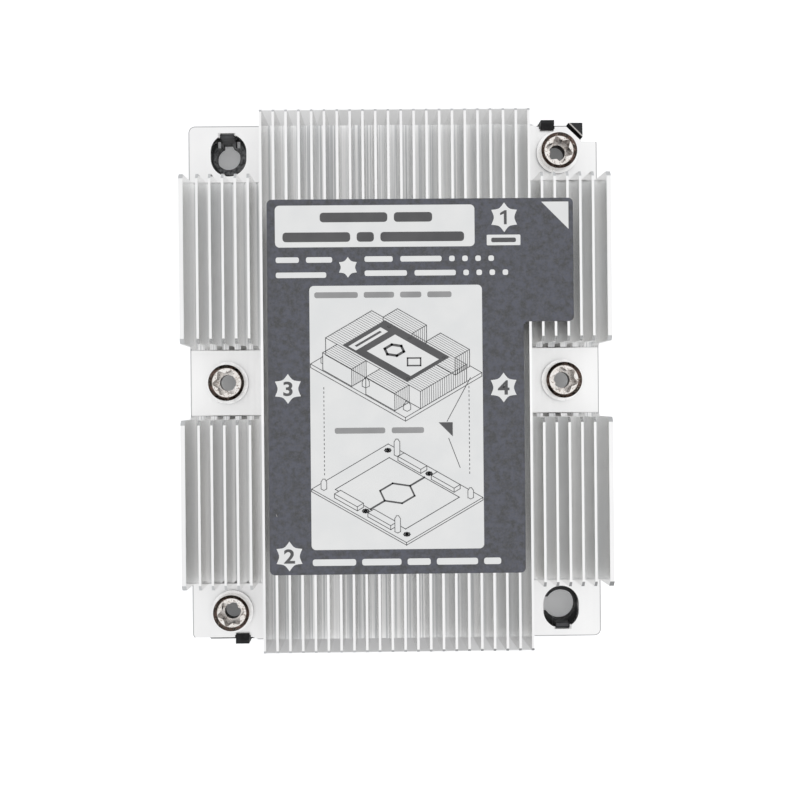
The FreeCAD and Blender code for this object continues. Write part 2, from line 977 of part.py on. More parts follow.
doc.recompute()
check_document()
os.makedirs("parts", exist_ok=True)
for body in bodies:
    body.Shape.exportStep(f"parts/{body.Label}.step")
    print(body.Label, round(body.Shape.Volume, 1), len(body.Shape.Solids))
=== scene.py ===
"""Looks of a passive processor heatsink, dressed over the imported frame.

Blender measures in metres. Places and sizes are written in millimetres here, and MM turns them
into metres. +Z is up, and +Y runs along the fins to the rear.
"""

import bpy
import bmesh
import json
import math
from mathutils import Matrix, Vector

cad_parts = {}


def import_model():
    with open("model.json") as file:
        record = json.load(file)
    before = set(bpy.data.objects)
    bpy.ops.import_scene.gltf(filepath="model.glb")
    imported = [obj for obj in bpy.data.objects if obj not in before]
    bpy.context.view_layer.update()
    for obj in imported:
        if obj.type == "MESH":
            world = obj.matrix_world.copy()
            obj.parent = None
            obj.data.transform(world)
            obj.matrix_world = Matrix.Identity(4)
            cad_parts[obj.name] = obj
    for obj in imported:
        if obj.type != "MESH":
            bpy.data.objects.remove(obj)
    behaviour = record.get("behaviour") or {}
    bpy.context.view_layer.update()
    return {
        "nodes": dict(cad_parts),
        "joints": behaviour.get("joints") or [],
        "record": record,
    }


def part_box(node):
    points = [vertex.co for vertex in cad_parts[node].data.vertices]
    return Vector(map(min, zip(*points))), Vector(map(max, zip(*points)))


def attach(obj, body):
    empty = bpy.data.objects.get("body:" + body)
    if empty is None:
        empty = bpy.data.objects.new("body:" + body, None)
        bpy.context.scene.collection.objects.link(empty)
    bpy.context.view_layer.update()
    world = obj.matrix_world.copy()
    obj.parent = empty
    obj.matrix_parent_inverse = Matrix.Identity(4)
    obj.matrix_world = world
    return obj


MM = 0.001

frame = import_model()
scene = bpy.context.scene


# Places on the part

NUT_AXES = {joint["child"]: [value / MM for value in joint["pos_m"]] for joint in frame["joints"]}
NUT_X, NUT_Y, PLATE_TOP = NUT_AXES["nut_1"]
GUIDE_HOLES = ((-NUT_X, NUT_Y), (NUT_X, -NUT_Y))
HALF_WIDTH, HALF_LENGTH = (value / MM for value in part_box("heatsink_body")[1][:2])
CORNER_RADIUS = 1.4
FIN_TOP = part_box("fin_label")[0].z / MM
HEAD_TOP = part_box("captive_nut_1")[1].z / MM
HEAD_RADIUS = 3.75
RECESS_RADIUS = 2.9
ABOVE_FLANGE = PLATE_TOP + 1.1
GUIDE_RING_REACH = 3.45
HOOK_HALF_WIDTH = 1.5
HOOK_FROM_HOLE = 1.7

# Painted light on the corner triangle: its top is painted lighter from this x on, just short of
# it, and a painted highlight along its long edge begins where x + y has this sum.
LIT_TRIANGLE_START = 36.0
HIGHLIGHT_EDGE_SUM = 91.35


# Nodes of materials

class Nodes:
    """A node tree, with short calls for the nodes in it. A share runs from zero to one."""

    def __init__(self, tree):
        self.tree = tree
        self.tree.nodes.clear()

    def add(self, kind, *inputs, **settings):
        """A new node, with its settings and what goes into its sockets."""
        node = self.tree.nodes.new(f"ShaderNode{kind}")
        for key, value in settings.items():
            setattr(node, key, value)
        for socket, value in inputs:
            self.set(node.inputs[socket], value)
        return node

    def set(self, socket, value):
        """Links another node's output into a socket, or gives the socket a fixed value."""
        if isinstance(value, bpy.types.NodeSocket):
            self.tree.links.new(value, socket)
        else:
            socket.default_value = value

    def math(self, operation, *values, clamp=False):
        """The result of one operation on numbers or outputs."""
        node = self.add("Math", *enumerate(values), operation=operation, use_clamp=clamp)
        return node.outputs[0]

    def both(self, first, second):
        """The share where two shares hold together."""
        return self.math("MULTIPLY", first, second)

    def length(self, across, along):
        """The length of a flat vector, from its two parts."""
        squares = [self.math("MULTIPLY", part, part) for part in (across, along)]
        return self.math("SQRT", self.math("ADD", *squares))

    def blend(self, share, first, second):
        """One number or another, by a share."""
        kept = self.math("MULTIPLY", self.math("SUBTRACT", 1.0, share), first)
        return self.math("ADD", kept, self.math("MULTIPLY", share, second))

    def span(self, value, low, high, to_low=0.0, to_high=1.0):
        """Moves a value from one span to another, and holds it at the ends."""
        names = ("From Min", "From Max", "To Min", "To Max")
        limits = zip(names, (low, high, to_low, to_high))
        return self.add("MapRange", ("Value", value), *limits).outputs[0]

    def below(self, value, low, high):
        """One up to the lower limit, fading to nothing at the higher."""
        return self.span(value, low, high, 1.0, 0.0)

    def band(self, value, low, high, soft):
        """One between two values and nothing outside them, with soft edges."""
        rise = self.span(value, low - soft, low + soft)
        return self.both(rise, self.below(value, high - soft, high + soft))

    def mix(self, share, first, second):
        """One colour or another, by a share."""
        node = self.add("Mix", data_type="RGBA")
        self.set(node.inputs["Factor"], share)
        for name, colour in (("A", first), ("B", second)):
            socket = next(one for one in node.inputs if (one.name, one.type) == (name, "RGBA"))
            self.set(socket, (*colour, 1.0) if isinstance(colour, tuple) else colour)
        return next(one for one in node.outputs if one.type == "RGBA")

    def tone(self, value, low, high, first, second):
        """A colour that goes from one to another while a value crosses a span."""
        return self.mix(self.span(value, low, high), first, second)


class Shader(Nodes):
    """A material with one Principled shader at its end, measured in millimetres."""

    def __init__(self, name, **fixed):
        self.material = bpy.data.materials.new(name)
        self.material.use_nodes = True
        super().__init__(self.material.node_tree)
        self.surface = self.add("BsdfPrincipled")
        self.output = self.add("OutputMaterial", ("Surface", self.surface.outputs[0]))
        self.coordinates = self.add("TexCoord").outputs["Object"]
        for socket, value in fixed.items():
            self.surface.inputs[socket.replace("_", " ")].default_value = value

    def scaled(self, size):
        """Object coordinates in units of the given sizes along x, y and z."""
        scale = [1 / (one * MM) for one in size]
        return self.add("Mapping", ("Vector", self.coordinates), ("Scale", scale)).outputs[0]

    def place(self):
        """The place on the part, as its x, y and z."""
        return self.add("SeparateXYZ", ("Vector", self.scaled((1.0, 1.0, 1.0)))).outputs

    def away(self, x, y):
        """The distance from an upright line."""
        here = self.place()
        return self.length(self.math("SUBTRACT", here[0], x), self.math("SUBTRACT", here[1], y))

    def flatness(self):
        """One where the surface lies flat, up or down, and nothing where it stands upright."""
        normal = self.add("NewGeometry").outputs["True Normal"]
        return self.math("ABSOLUTE", self.add("SeparateXYZ", ("Vector", normal)).outputs[2])

    def noise(self, size, detail=3.0, roughness=0.5):
        """Noise whose grains have the given sizes along x, y and z."""
        node = self.add(
            "TexNoise",
            ("Vector", self.scaled(size)),
            ("Scale", 1.0),
            ("Detail", detail),
            ("Roughness", roughness),
        )
        return node.outputs["Fac"]

    def dress(self, colour, roughness):
        """Gives the surface its colour and its roughness."""
        self.set(self.surface.inputs["Base Color"], colour)
        self.set(self.surface.inputs["Roughness"], roughness)

    def bump(self, height, distance, strength):
        """Adds a relief to those that the surface has."""
        node = self.add(
            "Bump", ("Height", height), ("Distance", distance * MM), ("Strength", strength)
        )
        normal = self.surface.inputs["Normal"]
        if normal.is_linked:
            self.set(node.inputs["Normal"], normal.links[0].from_socket)
        self.set(normal, node.outputs[0])


def aluminium():
    """Drawn metal with long soft streaks, flat milled faces, and painted shade on the cut ends."""
    shader = Shader("machined_aluminium", Metallic=1.0)
    x, y, z = shader.place()
    from_middle = [shader.math("ABSOLUTE", part) for part in (x, y)]
    flatness = shader.flatness()
    streaks = shader.noise((0.35, 60.0, 0.9), 2.0)
    lines = shader.noise((0.28, 90.0, 30.0), 1.0)
    blotches = shader.noise((9.0, 14.0, 9.0))
    grains = shader.noise((0.25, 0.25, 0.25), 2.0)

    side = shader.tone(streaks, 0.3, 0.7, (0.815, 0.82, 0.825), (0.95, 0.95, 0.94))
    side = shader.mix(shader.span(blotches, 0.35, 0.7), side, (0.90, 0.895, 0.885))
    # Painted shade: the fin sides are painted darker towards the front left.
    toward_front_left = shader.math("SUBTRACT", shader.math("MULTIPLY", x, -0.6), y)
    front_left_shade = shader.span(toward_front_left, 5.0, 50.0, 0.0, 0.75)
    side = shader.mix(front_left_shade, side, (0.82, 0.815, 0.805))
    # Painted shade: the sloped cut ends of the fins near their tops are painted grey, darker
    # towards the front right.
    toward_front_right = shader.math("SUBTRACT", x, y)
    end_shade = shader.tone(
        toward_front_right, 40.0, 75.0, (0.64, 0.65, 0.66), (0.33, 0.335, 0.34)
    )
    near_top = shader.span(z, FIN_TOP - 6.1, FIN_TOP - 5.1)
    shaded_cut_end = shader.both(shader.band(flatness, 0.45, 0.85, 0.03), near_top)
    side = shader.mix(shaded_cut_end, side, end_shade)

    face = shader.tone(blotches, 0.3, 0.7, (0.86, 0.86, 0.865), (0.90, 0.90, 0.90))
    # Painted light: the plate is painted lighter in the middle pocket between the side blocks.
    lit_mid_pocket = shader.below(from_middle[1], 8.0, 9.0)
    face = shader.mix(lit_mid_pocket, face, (0.93, 0.93, 0.93))
    # Painted shade: the outermost strip of the plate's top is painted dark along its edge.
    past_corner = [
        shader.math("MAXIMUM", shader.math("SUBTRACT", part, half - CORNER_RADIUS), 0.0)
        for part, half in zip(from_middle, (HALF_WIDTH, HALF_LENGTH))
    ]
    rim = shader.both(
        shader.span(shader.length(*past_corner), CORNER_RADIUS - 0.22, CORNER_RADIUS - 0.16),
        shader.below(z, PLATE_TOP + 0.1, PLATE_TOP + 0.2),
    )
    face = shader.mix(rim, face, (0.42, 0.42, 0.425))
    channel_floor = shader.tone(lines, 0.38, 0.62, (0.60, 0.61, 0.62), (0.93, 0.93, 0.93))
    in_channel = shader.band(z, PLATE_TOP + 0.1, PLATE_TOP + 0.4, 0.04)
    face = shader.mix(in_channel, face, channel_floor)

    foot_bevel = shader.both(
        shader.span(flatness, 0.5, 0.6), shader.below(z, PLATE_TOP + 0.9, PLATE_TOP + 1.4)
    )
    flat = shader.math("MAXIMUM", shader.span(flatness, 0.8, 0.95), foot_bevel)
    side_rough = shader.span(streaks, 0.2, 0.8, 0.12, 0.2)
    shader.dress(
        shader.mix(flat, side, face), shader.math("MULTIPLY_ADD", flat, 0.2, side_rough)
    )
    shader.bump(streaks, 0.01, 0.2)
    shader.bump(grains, 0.004, 0.3)
    return shader.material


def nearer(place, shift):
    """A place along one axis, moved toward the part's middle."""
    return place - math.copysign(shift, place) if place else 0.0


def nickel(body, x, y):
    """Bright plate about one nut's axis, with a dark reflection painted on the edge round the
    head, and shade painted dark brown in the recess and dark on the flange's wall.
    """
    shader = Shader(body.replace("nut", "nickel_plate"), Metallic=1.0)
    z = shader.place()[2]
    radius = shader.away(x, y)
    wall = shader.below(shader.flatness(), 0.3, 0.6)
    cloud = shader.noise((1.4, 1.4, 1.4), 2.0)
    marks = shader.noise((0.35, 0.35, 0.9), 3.0, 0.6)

    head = shader.tone(cloud, 0.3, 0.7, (0.74, 0.70, 0.66), (0.90, 0.88, 0.86))
    skirt = shader.both(wall, shader.span(radius, RECESS_RADIUS + 0.05, RECESS_RADIUS + 0.15))
    scratched = shader.math("SUBTRACT", shader.span(marks, 0.54, 0.66), skirt, clamp=True)
    head = shader.mix(scratched, head, (0.26, 0.20, 0.17))

    # Painted shade and reflection: a dark brown for the walls deep in the recess and for the
    # chamfer round the head.
    shade_brown = shader.tone(cloud, 0.4, 0.65, (0.040, 0.034, 0.028), (0.125, 0.080, 0.066))
    shade_brown = shader.mix(shader.span(marks, 0.58, 0.74), shade_brown, (0.45, 0.40, 0.35))
    lobes = shader.tone(radius, 1.95, 2.35, (0.17, 0.125, 0.11), (0.62, 0.56, 0.52))
    recess = shader.mix(shader.below(z, ABOVE_FLANGE, HEAD_TOP - 0.7), lobes, shade_brown)
    inside = shader.both(wall, shader.below(radius, RECESS_RADIUS - 0.05, RECESS_RADIUS + 0.05))
    head = shader.mix(inside, head, recess)
    # Painted reflection: the chamfer round the head is painted dark brown, as the dark
    # surroundings it reflects.
    painted_dark_chamfer = shader.both(
        shader.span(
            shader.away(nearer(x, 0.14), nearer(y, 0.14)),
            RECESS_RADIUS + 0.06,
            RECESS_RADIUS + 0.16,
        ),
        shader.span(z, HEAD_TOP - 0.75, HEAD_TOP - 0.6),
    )
    head = shader.mix(painted_dark_chamfer, head, shade_brown)

    # Painted shade: the flange's upright wall is painted dark, its top bright.
    flange = shader.mix(wall, (0.88, 0.88, 0.88), (0.30, 0.30, 0.30))
    on_flange = shader.both(
        shader.below(z, ABOVE_FLANGE, ABOVE_FLANGE + 0.1),
        shader.span(radius, HEAD_RADIUS - 0.05, HEAD_RADIUS),
    )
    shader.dress(shader.mix(on_flange, head, flange), shader.span(cloud, 0.3, 0.7, 0.22, 0.34))
    shader.bump(marks, 0.02, 0.4)
    return shader.material


def spring_steel():
    """Dull grey rings, clouded by their heat treatment."""
    shader = Shader("spring_steel", Metallic=1.0)
    cloud = shader.noise((0.8, 0.8, 0.8), 4.0)
    colour = shader.tone(cloud, 0.3, 0.7, (0.22, 0.21, 0.20), (0.34, 0.33, 0.32))
    shader.dress(colour, shader.span(cloud, 0.3, 0.7, 0.35, 0.5))
    shader.bump(cloud, 0.01, 0.3)
    return shader.material


def black_plastic():
    """Dark moulding, greyer and blotched where light falls down the two guide holes."""
    shader = Shader("black_plastic", Specular_IOR_Level=0.2)
    x, y, z = shader.place()
    grain = shader.noise((0.18, 0.18, 0.18), 3.0, 0.6)
    cloud = shader.noise((1.6, 1.6, 1.6))
    blots = shader.noise((0.7, 0.7, 1.4), 4.0, 0.6)
    colour = shader.tone(cloud, 0.3, 0.7, (0.012, 0.013, 0.014), (0.030, 0.030, 0.032))
    # Painted light: the rings round the guide holes, the hook heads and the first hook's stem are
    # painted lighter where light falls down the holes.
    ring_tone = shader.tone(blots, 0.38, 0.62, (0.050, 0.051, 0.054), (0.19, 0.194, 0.20))
    hook_tone = shader.tone(blots, 0.35, 0.65, (0.058, 0.059, 0.063), (0.088, 0.089, 0.094))
    for (hole_x, hole_y), ring_share, stem_share in zip(GUIDE_HOLES, (1.0, 0.2), (1.0, 0.0)):
        from_axis = shader.away(hole_x, hole_y)
        ring = shader.span(
            from_axis, GUIDE_RING_REACH, GUIDE_RING_REACH + 0.3, ring_share, 0.0
        )
        colour = shader.mix(ring, colour, ring_tone)
        outward = shader.math("MULTIPLY", y, math.copysign(1.0, hole_y))
        hook = shader.both(
            shader.band(x, hole_x - HOOK_HALF_WIDTH, hole_x + HOOK_HALF_WIDTH, 0.03),
            shader.span(outward, NUT_Y + HOOK_FROM_HOLE, NUT_Y + HOOK_FROM_HOLE + 0.1),
        )
        stem = shader.span(z, PLATE_TOP - 0.5, PLATE_TOP - 0.3, stem_share, 0.0)
        colour = shader.mix(hook, colour, shader.mix(stem, hook_tone, (0.20, 0.202, 0.21)))

    # Painted light: the corner triangle's top is painted a little lighter, with a painted
    # highlight along its long edge.
    lit_triangle_top = shader.both(
        shader.span(z, PLATE_TOP - 0.6, PLATE_TOP - 0.5),
        shader.span(x, LIT_TRIANGLE_START, LIT_TRIANGLE_START + 0.3),
    )
    colour = shader.mix(lit_triangle_top, colour, (0.034, 0.035, 0.037))
    edge_highlight = shader.band(shader.math("ADD", x, y), HIGHLIGHT_EDGE_SUM, HIGHLIGHT_EDGE_SUM + 0.45, 0.05)
    colour = shader.mix(shader.both(edge_highlight, lit_triangle_top), colour, (0.62, 0.60, 0.58))
    shader.dress(colour, shader.span(cloud, 0.3, 0.7, 0.34, 0.5))
    shader.bump(grain, 0.02, 0.5)
    return shader.material


def printed_film():
    """The label's dark ground, mottled and faintly glossy."""
    shader = Shader("printed_film", Coat_Weight=0.1, Coat_Roughness=0.35)
    fine = shader.noise((0.35, 0.35, 0.35), 3.0, 0.6)
    cloud = shader.noise((1.1, 1.1, 1.1), 3.0, 0.6)
    colour = shader.tone(cloud, 0.36, 0.62, (0.058, 0.060, 0.066), (0.092, 0.098, 0.128))
    colour = shader.mix(shader.span(fine, 0.45, 0.72, 0.0, 0.55), colour, (0.122, 0.120, 0.128))
    shader.dress(colour, shader.span(fine, 0.3, 0.7, 0.42, 0.52))
    shader.bump(fine, 0.008, 0.3)
    return shader.material


def ink(name, low, high, rough):
    """Print of one colour, a little uneven."""
    shader = Shader(name)
    fine = shader.noise((0.3, 0.3, 0.3), 3.0, 0.6)
    cloud = shader.noise((6.0, 6.0, 6.0), 2.0)
    colour = shader.tone(cloud, 0.35, 0.65, low, high)
    shader.dress(colour, shader.span(fine, 0.3, 0.7, rough, rough + 0.1))
    shader.bump(fine, 0.006, 0.25)
    return shader.material


def thermal_compound():
    """Grey paste with the soft waves of its spreading."""
    shader = Shader("thermal_compound")
    fine = shader.noise((0.4, 0.4, 0.4), 4.0, 0.6)
    waves = shader.noise((2.0, 9.0, 2.0), 2.0)
    colour = shader.tone(fine, 0.3, 0.7, (0.30, 0.31, 0.32), (0.42, 0.43, 0.44))
    shader.dress(colour, shader.span(waves, 0.3, 0.7, 0.45, 0.65))
    shader.bump(waves, 0.05, 0.4)
    shader.bump(fine, 0.02, 0.4)
    return shader.material


MATERIALS = {
    "machined_aluminium": aluminium(),
    "spring_steel": spring_steel(),
    "black_plastic": black_plastic(),
    "printed_film": printed_film(),
    "thermal_compound": thermal_compound(),
}
NICKEL = {f"captive_{body}": nickel(body, *axis[:2]) for body, axis in NUT_AXES.items()}
LIGHT_INK = ink("light_ink", (0.83, 0.84, 0.845), (0.87, 0.875, 0.875), 0.42)
DARK_INK = ink("dark_ink", (0.080, 0.080, 0.084), (0.100, 0.100, 0.104), 0.45)
GREY_INK = ink("grey_ink", (0.30, 0.30, 0.305), (0.36, 0.36, 0.365), 0.45)

for part in frame["record"]["subparts"]:
    node = frame["nodes"][part["node"]]
    node.data.materials.clear()
    node.data.materials.append(NICKEL.get(part["node"]) or MATERIALS[part["material_slot"]])


# Print on the label

LABEL_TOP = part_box("fin_label")[1].z
INK = 0.02 * MM


def put_on_label(name, mesh):
    """A piece of print that rides with the label's body."""
    piece = bpy.data.objects.new(name, mesh)
    scene.collection.objects.link(piece)
    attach(piece, "heatsink")
    return piece


def sides(outline):
    """Each pair of neighbours round a closed outline."""
    return zip(outline, outline[1:] + outline[:1])


def print_shapes(name, shapes, material):
    """Flat print from closed outlines, each with its level above the label in layers of ink."""
    mesh = bpy.data.meshes.new(name)
    build = bmesh.new()
    for level, outline in shapes:
        base = LABEL_TOP + level * INK
        lower = [build.verts.new((x * MM, y * MM, base)) for x, y in outline]
        upper = [build.verts.new((x * MM, y * MM, base + INK)) for x, y in outline]
        build.faces.new(upper)
        build.faces.new(lower[::-1])
        for (low_first, low_last), (high_first, high_last) in zip(sides(lower), sides(upper)):
            build.faces.new((low_first, low_last, high_last, high_first))
    bmesh.ops.recalc_face_normals(build, faces=build.faces)
    build.to_mesh(mesh)
    build.free()
    mesh.materials.append(material)
    put_on_label(name, mesh)


def on_level(level, outlines):
    """Outlines that lie on one level, ready for print_shapes."""
    return [(level, outline) for outline in outlines]


def panel(left, right, low, high, radius, steps=6):
    """A rectangle with round corners."""
    corners = (
        (right - radius, high - radius, 0),
        (left + radius, high - radius, 90),
        (left + radius, low + radius, 180),
        (right - radius, low + radius, 270),
    )
    points = []
    for x, y, start in corners:
        for step in range(steps + 1):
            angle = math.radians(start + 90 * step / steps)
            points.append((x + radius * math.cos(angle), y + radius * math.sin(angle)))
    return points


def badge(x, y, across):
    """A six-pointed badge with hollow sides."""
    points = []
    for point in range(6):
        for share in (0.0, 0.2, 0.4, 0.6, 0.8):
            angle = math.radians(90 + 60 * (point + share))
            dip = math.sin(math.pi * share) ** 0.75
            radius = across / 2 * (1 - 0.31 * dip)
            points.append((x + radius * math.cos(angle), y + radius * math.sin(angle)))
    return points


def stroke(start, end, width):
    """One straight line of print."""
    along = Vector((end[0] - start[0], end[1] - start[1]))
    along.normalize()
    across = Vector((-along.y, along.x)) * (width / 2)
    along = along * (width / 2)
    first = Vector(start) - along
    last = Vector(end) + along
    return [
        tuple(first - across), tuple(last - across), tuple(last + across), tuple(first + across)
    ]


def bars(left, middle, height, lengths, gap):
    """A row of plain bars with round ends."""
    low, high = middle - height / 2, middle + height / 2
    shapes = []
    for length in lengths:
        shapes.append(panel(left, left + length, low, high, height / 3, 3))
        left += length + gap
    return shapes


def numeral(name, text, x, y):
    """A plain number from the built-in typeface, as a flat piece."""
    height = 2.7
    capital_share = 0.7
    widening = 1.18
    curve = bpy.data.curves.new(name, "FONT")
    curve.body = text
    curve.size = height * MM / capital_share
    curve.offset = 0.09 * MM
    curve.extrude = INK / 2
    curve.resolution_u = 5
    curve.align_x = "CENTER"
    curve.align_y = "CENTER"
    shaped = bpy.data.objects.new(name + "_curve", curve)
    scene.collection.objects.link(shaped)
    bpy.context.view_layer.update()
    mesh = bpy.data.meshes.new_from_object(
        shaped.evaluated_get(bpy.context.evaluated_depsgraph_get())
    )
    bpy.data.objects.remove(shaped)
    for vertex in mesh.vertices:
        vertex.co.x *= widening
    mesh.name = name
    mesh.materials.clear()
    mesh.materials.append(DARK_INK)
    middle = []
    for axis in (0, 1):
        values = [vertex.co[axis] for vertex in mesh.vertices]
        middle.append((min(values) + max(values)) / 2)
    place = (x * MM - middle[0], y * MM - middle[1], LABEL_TOP + 1.5 * INK)
    put_on_label(name, mesh).location = place


BADGES = (("1", 21.6, 32.2), ("2", -21.6, -34.7), ("3", -21.6, -1.5), ("4", 21.2, -1.6))
DOTS = (1.1,) * 4
light = [
    panel(-23.9, 15.7, 26.5, 34.8, 0.9),
    panel(-17.2, 17.05, -33.5, 18.85, 0.9),
    panel(18.1, 24.8, 26.65, 28.75, 0.2),
    [(29.0, 35.25), (34.4, 29.8), (34.4, 35.25)],
    badge(-9.5, 22.5, 4.1),
]
light += [badge(x, y, 5.9) for _, x, y in BADGES]
light += bars(-23.8, 24.0, 1.1, (4.6, 5.2), 1.4)
light += bars(-23.8, 21.0, 1.1, (10.0,), 1.2)
light += bars(-6.2, 24.1, 1.1, (5.6, 8.2, *DOTS), 1.5)
light += bars(-6.2, 21.3, 1.1, (8.4, 8.2, *DOTS), 1.5)
light += bars(-17.0, -36.0, 1.3, (8.6, 7.8, 4.6, 8.2, 3.4), 1.2)
print_shapes("label_light_print", on_level(0, light), LIGHT_INK)


# Drawings on the label, in raised view. Dark and pale shapes lie on levels, the nearer the higher.

LIFT = math.radians(30)
LINE = 0.14
dark_layers = []
pale_layers = []


def raised(point, centre):
    """Where a point in space falls on the label."""
    x, y, z = point
    return (
        centre[0] + (x - y) * math.cos(LIFT),
        centre[1] + (x + y) * math.sin(LIFT) + z,
    )


def line(level, centre, first, last, width=LINE):
    """A dark line between two points in space."""
    dark_layers.append((level, stroke(raised(first, centre), raised(last, centre), width)))


def field(level, centre, points, layers):
    """A filled shape with corners in space, dark or pale as its layers are."""
    layers.append((level, [raised(point, centre) for point in points]))


def drawn_box(level, centre, x, y, z, hatch=None):
    """The three sides of a box that show, pale between their lines, with hatching for fins."""
    low_x, high_x = x
    low_y, high_y = y
    low_z, high_z = z
    rim = [
        (low_x, low_y, low_z), (high_x, low_y, low_z), (high_x, low_y, high_z),
        (high_x, high_y, high_z), (low_x, high_y, high_z), (low_x, high_y, low_z),
    ]
    field(level, centre, rim, pale_layers)
    for first, last in sides(rim):
        line(level + 0.5, centre, first, last)
    corner = (low_x, low_y, high_z)
    for last in ((high_x, low_y, high_z), (low_x, high_y, high_z), (low_x, low_y, low_z)):
        line(level + 0.5, centre, corner, last)
    if hatch:
        count = round((high_x - low_x) / hatch)
        for step in range(1, count):
            at = low_x + (high_x - low_x) * step / count
            line(level + 0.5, centre, (at, low_y, high_z), (at, high_y, high_z), 0.075)
            line(level + 0.5, centre, (at, low_y, low_z), (at, low_y, high_z), 0.1)


def drawn_ring(level, centre, x, y, z, radius, corners, width):
    """A ring or polygon that lies flat."""
    turns = [2 * math.pi * step / corners for step in range(corners)]
    ring = [(x + radius * math.cos(turn), y + radius * math.sin(turn), z) for turn in turns]
    for first, last in sides(ring):
        line(level, centre, first, last, width)


def drawn_post(level, centre, x, y, z, height, radius):
    """A small upright post."""
    middle, foot = raised((x, y, z), centre)
    left, right = middle - radius, middle + radius
    top = foot + height
    shape = [
        (left, foot), (middle, foot - radius / 2), (right, foot), (right, top),
        (middle + radius / 3, top + radius), (middle - radius / 3, top + radius), (left, top),
    ]
    pale_layers.append((level, shape))
    for first, last in sides(shape):
        dark_layers.append((level + 0.5, stroke(first, last, 0.12)))


DRAWN_WIDTH = (-8.8, 8.8)
DRAWN_LENGTH = (-10.8, 10.8)


def draw_heatsink(centre):
    """A finned block on a plate, with its label and nuts."""
    plate_top, fin_top, hatch = 0.7, 4.1, 0.5
    fins = (plate_top, fin_top)
    blocks = ((1.6, 8.2), (-8.2, -1.6))

    def nut(level, x, y):
        drawn_post(level, centre, x, y, plate_top, 0.9, 0.7)

    def on_top(level, low_x, high_x, low_y, high_y, layers):
        corners = ((low_x, low_y), (high_x, low_y), (high_x, high_y), (low_x, high_y))
        field(level, centre, [(x, y, fin_top) for x, y in corners], layers)

    drawn_box(1, centre, DRAWN_WIDTH, DRAWN_LENGTH, (0.0, plate_top))
    for x, y in ((7.0, 9.4), (7.0, 0.0), (-7.0, 9.4)):
        nut(1.5, x, y)
    for y in blocks:
        drawn_box(2.0, centre, (5.3, 8.6), y, fins, hatch)
    drawn_box(2.5, centre, (-5.3, 5.3), DRAWN_LENGTH, fins, hatch)
    for y in blocks:
        drawn_box(3.0, centre, (-8.6, -5.3), y, fins, hatch)
    for x, y in ((-7.0, 0.0), (-7.0, -9.4)):
        nut(3.5, x, y)
    on_top(4.0, -4.9, 4.9, -7.4, 7.4, dark_layers)
    on_top(4.5, -3.3, 3.2, -6.6, 3.4, pale_layers)
    on_top(4.5, -4.4, 3.0, 4.8, 6.5, pale_layers)
    on_top(5.0, -3.6, 2.2, 5.4, 5.9, dark_layers)
    drawn_ring(5.0, centre, 0.0, 0.4, fin_top, 1.6, 6, 0.5)
    drawn_ring(5.0, centre, -0.1, -4.2, fin_top, 1.5, 4, 0.3)
    for x, y in ((-4.1, -6.8), (4.1, -6.8), (4.1, 1.0), (4.1, 5.6)):
        drawn_ring(5.0, centre, x, y, fin_top, 0.25, 6, 0.1)


def draw_frame(centre):
    """A flat frame with a window, clips, screws and posts."""
    top = 0.5
    drawn_box(1, centre, DRAWN_WIDTH, DRAWN_LENGTH, (0.0, top))
    window = [(-6.2, -8.0, top), (6.2, -8.0, top), (6.2, 8.0, top), (-6.2, 8.0, top)]
    for first, last in sides(window):
        line(1.5, centre, first, last, 0.16)
    for clip_x in ((6.6, 8.0), (-8.0, -6.6)):
        for clip_y in ((1.2, 6.4), (-6.4, -1.2)):
            drawn_box(2.0, centre, clip_x, clip_y, (top, 1.3))
    for start, finish in ((-6.2, -2.9), (2.9, 6.2)):
        line(1.5, centre, (start, 0.0, top), (finish, 0.0, top), 0.36)
    drawn_ring(1.5, centre, 0.0, 0.0, top, 2.9, 6, 0.34)
    for x, y in ((7.3, 0.0), (-7.3, 0.0), (7.3, 9.4), (-7.3, -9.4)):
        for radius in (0.2, 0.5):
            drawn_ring(2.5, centre, x, y, 0.7, radius, 8, 0.24)
    for x, y, height in ((-7.4, 9.4, 1.4), (7.4, -9.4, 1.4), (7.6, 7.6, 2.6), (-7.6, -7.6, 2.6)):
        drawn_post(3.0, centre, x, y, top, height, 0.55)


draw_heatsink((-0.1, 1.7))
draw_frame((-0.1, -22.9))
for x in (-14.5, 14.3):
    for dash in range(21):
        y = -18.6 + 0.85 * dash
        dark_layers.append((1, stroke((x, y), (x, y + 0.3), LINE)))
for first, last in (((14.6, 0.4), (9.9, -8.2)), ((10.2, -11.6), (12.4, -17.4))):
    dark_layers.append((1, stroke(first, last, LINE)))
dark_layers.append((1, [(8.2, -8.4), (11.0, -11.2), (11.0, -8.4)]))

dark = bars(-15.0, 32.4, 1.9, (13.4, 7.6), 1.3)
dark += bars(-22.4, 28.5, 1.9, (13.4, 3.4, 16.6), 1.3)
dark += bars(19.0, 27.7, 0.9, (4.9,), 1.0)
print_shapes("label_dark_print", on_level(1, dark) + dark_layers, DARK_INK)
print_shapes("label_pale_print", pale_layers, LIGHT_INK)
grey = bars(-16.2, 17.0, 1.15, (8.6, 6.0, 4.2, 4.8), 1.2)
grey += bars(-12.4, -9.9, 1.15, (10.0, 6.4), 1.3)
grey.append(stroke((-24.15, -26.4), (-24.0, -26.8), 0.12))
print_shapes("label_grey_print", on_level(1, grey), GREY_INK)
for text, x, y in BADGES[1:]:
    numeral(f"label_number_{text}", text, x, y)
x, y = BADGES[0][1:]
one = [
    (x - 0.05, y - 1.4), (x + 0.5, y - 1.4), (x + 0.5, y + 1.4), (x + 0.1, y + 1.4),
    (x - 0.8, y + 0.85), (x - 0.8, y + 0.4), (x - 0.05, y + 0.72),
]
print_shapes("label_number_1", on_level(1, [one]), DARK_INK)


# Floor, light and camera

WHITE = (1.0, 1.0, 1.0, 1.0)


